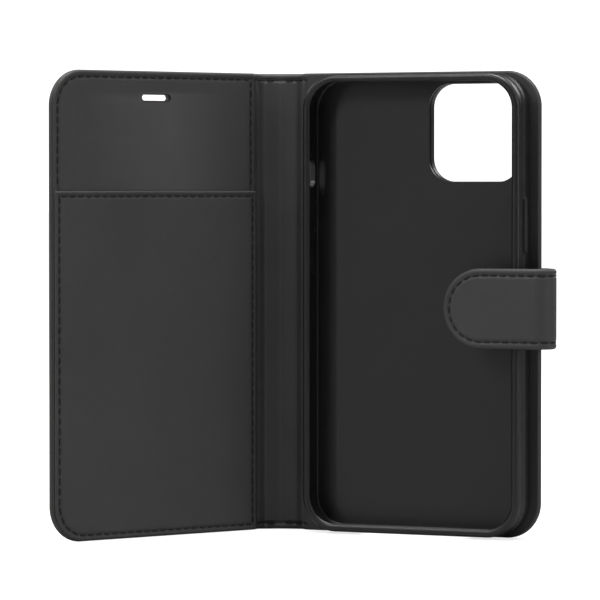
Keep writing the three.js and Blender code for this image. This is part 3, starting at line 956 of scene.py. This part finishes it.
# ---- CAD nodes that stay: the stiff and fixing parts inside the leather ----
KEPT = {
    "back_board": GREYBOARD,
    "front_board": GREYBOARD,
    "strap_anchor": LEATHER,
    "tray_adhesive_pad": FOAM,
    "strap_keeper_plate": STEEL,
    "lower_magnet": NICKEL,
    "upper_magnet": NICKEL,
}
for name, material in KEPT.items():
    dress(frame["nodes"][name], material)

# ---- floor, light and camera ----
FLOOR_SIDE, FLOOR_FRONT, FLOOR_REAR = 9000, -5000, 14000
floor_corners = [
    (-FLOOR_SIDE, FLOOR_FRONT, 0),
    (FLOOR_SIDE, FLOOR_FRONT, 0),
    (FLOOR_SIDE, FLOOR_REAR, 0),
    (-FLOOR_SIDE, FLOOR_REAR, 0),
]
floor = new_object("floor", floor_corners, [(0, 1, 2, 3)], smooth=False)
floor_material = procedural("pale floor", (0.42, 0.42, 0.42), 0.8, 0.005, None, 400, 0.2)
floor.data.materials.append(floor_material)
# The floor shows a little brighter than its lit colour, and more so far off, where it meets the backdrop.
GLOW_NEAR, GLOW_FAR = (0.12, 0.74), (0.7, 1.1)  # each a distance in metres and a strength
floor_tree = floor_material.node_tree
glow = floor_tree.nodes.new("ShaderNodeEmission")
glow.inputs["Color"].default_value = (1, 1, 1, 1)
floor_place = floor_tree.nodes.new("ShaderNodeTexCoord")
floor_distance = floor_tree.nodes.new("ShaderNodeVectorMath")
floor_distance.operation = "LENGTH"
floor_rise = floor_tree.nodes.new("ShaderNodeMapRange")
floor_rise.inputs["From Min"].default_value, floor_rise.inputs["To Min"].default_value = GLOW_NEAR
floor_rise.inputs["From Max"].default_value, floor_rise.inputs["To Max"].default_value = GLOW_FAR
glow_path = floor_tree.nodes.new("ShaderNodeLightPath")
floor_seen = floor_tree.nodes.new("ShaderNodeMath")
floor_seen.operation = "MULTIPLY"
blend_in = floor_tree.nodes.new("ShaderNodeAddShader")
floor_tree.links.new(floor_place.outputs["Object"], floor_distance.inputs[0])
floor_tree.links.new(floor_distance.outputs["Value"], floor_rise.inputs["Value"])
floor_tree.links.new(floor_rise.outputs["Result"], floor_seen.inputs[0])
floor_tree.links.new(glow_path.outputs["Is Camera Ray"], floor_seen.inputs[1])
floor_tree.links.new(floor_seen.outputs[0], glow.inputs["Strength"])
floor_tree.links.new(floor_tree.nodes["Principled BSDF"].outputs[0], blend_in.inputs[0])
floor_tree.links.new(glow.outputs[0], blend_in.inputs[1])
floor_tree.links.new(blend_in.outputs[0], floor_tree.nodes["Material Output"].inputs["Surface"])

ROOM = 0.07  # the world's strength as light on the object
BACKDROP = 1.3  # and as the camera sees it
LIGHTS = [  # name, place in metres, width, height, power
    ("left key", (-0.70, -1.2, 1.05), 0.35, 0.5, 11),
    ("left strip", (-0.95, -1.3, 0.45), 0.07, 0.9, 2),
    ("right fill", (1.255, -0.336, 0.83), 0.7, 0.7, 3.0),
    ("side", (1.4, -0.02, 0.42), 0.3, 0.9, 3.5),
    ("top", (0.05, -0.12, 1.2), 0.9, 0.4, 20),
    ("rear", (0.5, 1.35, 0.95), 0.8, 0.6, 9),
    ("rear left", (-1.35, 0.35, 0.6), 0.5, 0.8, 5),
]
world = bpy.data.worlds.new("studio")
bpy.context.scene.world = world
world.use_nodes = True
tree = world.node_tree
tree.nodes.clear()
out = tree.nodes.new("ShaderNodeOutputWorld")
mix = tree.nodes.new("ShaderNodeMixShader")
path = tree.nodes.new("ShaderNodeLightPath")
room, seen = tree.nodes.new("ShaderNodeBackground"), tree.nodes.new("ShaderNodeBackground")
room.inputs["Color"].default_value = (1, 1, 1, 1)
room.inputs["Strength"].default_value = ROOM
seen.inputs["Strength"].default_value = BACKDROP
seen.inputs["Color"].default_value = (1, 1, 1, 1)
tree.links.new(path.outputs["Is Camera Ray"], mix.inputs["Fac"])
tree.links.new(room.outputs[0], mix.inputs[1])
tree.links.new(seen.outputs[0], mix.inputs[2])
tree.links.new(mix.outputs[0], out.inputs[0])


def softbox(name, place, target, width, height, power):
    light = bpy.data.lights.new(name, "AREA")
    light.shape = "RECTANGLE"
    light.size, light.size_y, light.energy = width, height, power
    obj = bpy.data.objects.new(name, light)
    bpy.context.scene.collection.objects.link(obj)
    obj.location = place
    obj.rotation_euler = (Vector(target) - Vector(place)).to_track_quat("-Z", "Y").to_euler()


MIDDLE = (0, -0.01, 0.08)
for name, place, width, height, power in LIGHTS:
    softbox(name, place, MIDDLE, width, height, power)

camera = bpy.data.cameras.new("camera")
camera.sensor_width = 36
camera.lens = 239.48
camera.clip_end = 100
camera_object = bpy.data.objects.new("camera", camera)
bpy.context.scene.collection.objects.link(camera_object)
camera_object.location = (0.53637, -1.23497, 0.11774)
VIEW_AZIMUTH, VIEW_PITCH = math.radians(25.236), math.radians(-1.6425)
view = Vector(
    (
        -math.sin(VIEW_AZIMUTH) * math.cos(VIEW_PITCH),
        math.cos(VIEW_AZIMUTH) * math.cos(VIEW_PITCH),
        math.sin(VIEW_PITCH),
    )
)
camera_object.rotation_euler = view.to_track_quat("-Z", "Y").to_euler()
scene = bpy.context.scene
scene.camera = camera_object
scene.view_settings.view_transform = "Standard"
